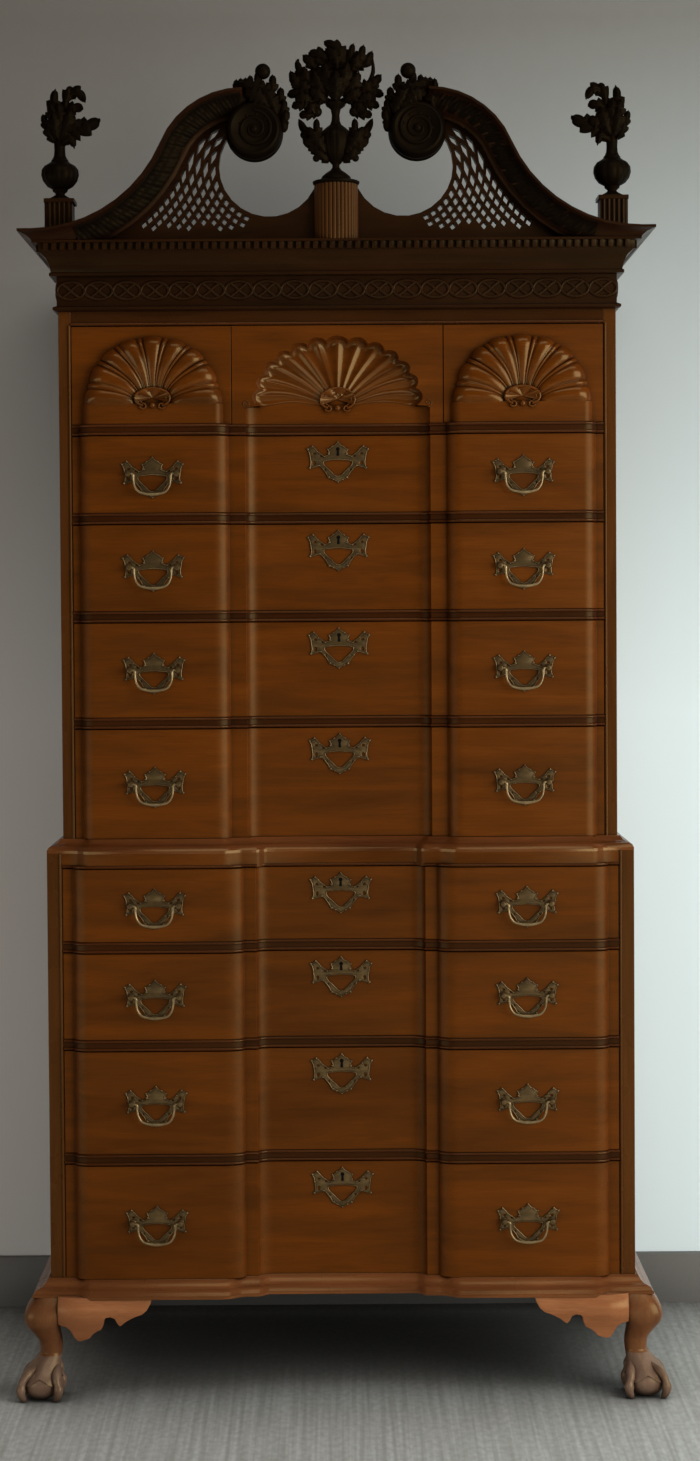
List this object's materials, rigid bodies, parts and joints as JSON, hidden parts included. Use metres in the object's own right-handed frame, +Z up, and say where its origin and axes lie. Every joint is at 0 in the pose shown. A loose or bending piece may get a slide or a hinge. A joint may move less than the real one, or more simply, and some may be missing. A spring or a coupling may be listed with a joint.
{
  "type": "block front chest",
  "caption": "Tall chest on chest with a blocked front, carved shells, a pierced broken-scroll pediment and claw feet.",
  "frame": {"origin": "on the floor, at the middle of the width and of the depth", "axes": "+Z up, -Y out of the drawer fronts, +X to the right as seen from the front"},
  "size_m": [1.167, 0.583, 2.4272],
  "materials": {
    "mahogany": "polished, warm red brown",
    "carved_mahogany": "polished, darker in the carving",
    "secondary_wood": "plain, unpolished",
    "brass": "aged, softly polished"
  },
  "bodies": {
    "case": {"base_frame": "mahogany", "lower_side_left": "mahogany", "lower_side_right": "mahogany", "lower_back": "secondary_wood", "lower_top": "mahogany", "lower_divider_1": "mahogany", "lower_divider_2": "mahogany", "lower_divider_3": "mahogany", "waist_moulding": "mahogany", "upper_floor": "mahogany", "upper_side_left": "mahogany", "upper_side_right": "mahogany", "upper_back": "secondary_wood", "upper_divider_1": "mahogany", "upper_divider_2": "mahogany", "upper_divider_3": "mahogany", "upper_divider_4": "mahogany", "top_frame_with_partitions": "mahogany", "frieze": "mahogany", "cornice": "mahogany", "scroll_board": "mahogany", "gooseneck_left": "mahogany", "gooseneck_right": "mahogany", "rosette_left": "carved_mahogany", "rosette_right": "carved_mahogany", "centre_plinth": "mahogany", "cartouche": "carved_mahogany", "finial_left": "carved_mahogany", "finial_right": "carved_mahogany", "leg_front_left": "mahogany", "leg_front_right": "mahogany", "leg_rear_left": "mahogany", "leg_rear_right": "mahogany"},
    "lower_drawer_1": {"lower_drawer_1": "mahogany"},
    "lower_drawer_1_bail_left": {"lower_drawer_1_bail_left": "brass"},
    "lower_drawer_1_bail_right": {"lower_drawer_1_bail_right": "brass"},
    "lower_drawer_2": {"lower_drawer_2": "mahogany"},
    "lower_drawer_2_bail_left": {"lower_drawer_2_bail_left": "brass"},
    "lower_drawer_2_bail_right": {"lower_drawer_2_bail_right": "brass"},
    "lower_drawer_3": {"lower_drawer_3": "mahogany"},
    "lower_drawer_3_bail_left": {"lower_drawer_3_bail_left": "brass"},
    "lower_drawer_3_bail_right": {"lower_drawer_3_bail_right": "brass"},
    "lower_drawer_4": {"lower_drawer_4": "mahogany"},
    "lower_drawer_4_bail_left": {"lower_drawer_4_bail_left": "brass"},
    "lower_drawer_4_bail_right": {"lower_drawer_4_bail_right": "brass"},
    "upper_drawer_1": {"upper_drawer_1": "mahogany"},
    "upper_drawer_1_bail_left": {"upper_drawer_1_bail_left": "brass"},
    "upper_drawer_1_bail_right": {"upper_drawer_1_bail_right": "brass"},
    "upper_drawer_2": {"upper_drawer_2": "mahogany"},
    "upper_drawer_2_bail_left": {"upper_drawer_2_bail_left": "brass"},
    "upper_drawer_2_bail_right": {"upper_drawer_2_bail_right": "brass"},
    "upper_drawer_3": {"upper_drawer_3": "mahogany"},
    "upper_drawer_3_bail_left": {"upper_drawer_3_bail_left": "brass"},
    "upper_drawer_3_bail_right": {"upper_drawer_3_bail_right": "brass"},
    "upper_drawer_4": {"upper_drawer_4": "mahogany"},
    "upper_drawer_4_bail_left": {"upper_drawer_4_bail_left": "brass"},
    "upper_drawer_4_bail_right": {"upper_drawer_4_bail_right": "brass"},
    "shell_drawer_left": {"shell_drawer_left": "mahogany"},
    "shell_drawer_middle": {"shell_drawer_middle": "mahogany"},
    "shell_drawer_right": {"shell_drawer_right": "mahogany"}
  },
  "joints": [
    {"name": "lower_drawer_1_slide", "type": "slide", "parent": "case", "child": "lower_drawer_1", "axis": [0, -1, 0], "range_m": [0, 0.38]},
    {"name": "lower_drawer_1_bail_left_hinge", "type": "hinge", "parent": "lower_drawer_1", "child": "lower_drawer_1_bail_left", "pos_m": [-0.333, -0.267, 0.316], "axis": [-1, 0, 0], "range_deg": [-12, 155]},
    {"name": "lower_drawer_1_bail_right_hinge", "type": "hinge", "parent": "lower_drawer_1", "child": "lower_drawer_1_bail_right", "pos_m": [0.333, -0.267, 0.316], "axis": [-1, 0, 0], "range_deg": [-12, 155]},
    {"name": "lower_drawer_2_slide", "type": "slide", "parent": "case", "child": "lower_drawer_2", "axis": [0, -1, 0], "range_m": [0, 0.38]},
    {"name": "lower_drawer_2_bail_left_hinge", "type": "hinge", "parent": "lower_drawer_2", "child": "lower_drawer_2_bail_left", "pos_m": [-0.333, -0.267, 0.532], "axis": [-1, 0, 0], "range_deg": [-12, 155]},
    {"name": "lower_drawer_2_bail_right_hinge", "type": "hinge", "parent": "lower_drawer_2", "child": "lower_drawer_2_bail_right", "pos_m": [0.333, -0.267, 0.532], "axis": [-1, 0, 0], "range_deg": [-12, 155]},
    {"name": "lower_drawer_3_slide", "type": "slide", "parent": "case", "child": "lower_drawer_3", "axis": [0, -1, 0], "range_m": [0, 0.38]},
    {"name": "lower_drawer_3_bail_left_hinge", "type": "hinge", "parent": "lower_drawer_3", "child": "lower_drawer_3_bail_left", "pos_m": [-0.333, -0.267, 0.723], "axis": [-1, 0, 0], "range_deg": [-12, 155]},
    {"name": "lower_drawer_3_bail_right_hinge", "type": "hinge", "parent": "lower_drawer_3", "child": "lower_drawer_3_bail_right", "pos_m": [0.333, -0.267, 0.723], "axis": [-1, 0, 0], "range_deg": [-12, 155]},
    {"name": "lower_drawer_4_slide", "type": "slide", "parent": "case", "child": "lower_drawer_4", "axis": [0, -1, 0], "range_m": [0, 0.38]},
    {"name": "lower_drawer_4_bail_left_hinge", "type": "hinge", "parent": "lower_drawer_4", "child": "lower_drawer_4_bail_left", "pos_m": [-0.333, -0.267, 0.887], "axis": [-1, 0, 0], "range_deg": [-12, 155]},
    {"name": "lower_drawer_4_bail_right_hinge", "type": "hinge", "parent": "lower_drawer_4", "child": "lower_drawer_4_bail_right", "pos_m": [0.333, -0.267, 0.887], "axis": [-1, 0, 0], "range_deg": [-12, 155]},
    {"name": "upper_drawer_1_slide", "type": "slide", "parent": "case", "child": "upper_drawer_1", "axis": [0, -1, 0], "range_m": [0, 0.38]},
    {"name": "upper_drawer_1_bail_left_hinge", "type": "hinge", "parent": "upper_drawer_1", "child": "upper_drawer_1_bail_left", "pos_m": [-0.332, -0.24, 1.103], "axis": [-1, 0, 0], "range_deg": [-12, 155]},
    {"name": "upper_drawer_1_bail_right_hinge", "type": "hinge", "parent": "upper_drawer_1", "child": "upper_drawer_1_bail_right", "pos_m": [0.332, -0.24, 1.103], "axis": [-1, 0, 0], "range_deg": [-12, 155]},
    {"name": "upper_drawer_2_slide", "type": "slide", "parent": "case", "child": "upper_drawer_2", "axis": [0, -1, 0], "range_m": [0, 0.38]},
    {"name": "upper_drawer_2_bail_left_hinge", "type": "hinge", "parent": "upper_drawer_2", "child": "upper_drawer_2_bail_left", "pos_m": [-0.332, -0.24, 1.3075], "axis": [-1, 0, 0], "range_deg": [-12, 155]},
    {"name": "upper_drawer_2_bail_right_hinge", "type": "hinge", "parent": "upper_drawer_2", "child": "upper_drawer_2_bail_right", "pos_m": [0.332, -0.24, 1.3075], "axis": [-1, 0, 0], "range_deg": [-12, 155]},
    {"name": "upper_drawer_3_slide", "type": "slide", "parent": "case", "child": "upper_drawer_3", "axis": [0, -1, 0], "range_m": [0, 0.38]},
    {"name": "upper_drawer_3_bail_left_hinge", "type": "hinge", "parent": "upper_drawer_3", "child": "upper_drawer_3_bail_left", "pos_m": [-0.332, -0.24, 1.491], "axis": [-1, 0, 0], "range_deg": [-12, 155]},
    {"name": "upper_drawer_3_bail_right_hinge", "type": "hinge", "parent": "upper_drawer_3", "child": "upper_drawer_3_bail_right", "pos_m": [0.332, -0.24, 1.491], "axis": [-1, 0, 0], "range_deg": [-12, 155]},
    {"name": "upper_drawer_4_slide", "type": "slide", "parent": "case", "child": "upper_drawer_4", "axis": [0, -1, 0], "range_m": [0, 0.38]},
    {"name": "upper_drawer_4_bail_left_hinge", "type": "hinge", "parent": "upper_drawer_4", "child": "upper_drawer_4_bail_left", "pos_m": [-0.332, -0.24, 1.6585], "axis": [-1, 0, 0], "range_deg": [-12, 155]},
    {"name": "upper_drawer_4_bail_right_hinge", "type": "hinge", "parent": "upper_drawer_4", "child": "upper_drawer_4_bail_right", "pos_m": [0.332, -0.24, 1.6585], "axis": [-1, 0, 0], "range_deg": [-12, 155]},
    {"name": "shell_drawer_left_slide", "type": "slide", "parent": "case", "child": "shell_drawer_left", "axis": [0, -1, 0], "range_m": [0, 0.38]},
    {"name": "shell_drawer_middle_slide", "type": "slide", "parent": "case", "child": "shell_drawer_middle", "axis": [0, -1, 0], "range_m": [0, 0.38]},
    {"name": "shell_drawer_right_slide", "type": "slide", "parent": "case", "child": "shell_drawer_right", "axis": [0, -1, 0], "range_m": [0, 0.38]}
  ]
}
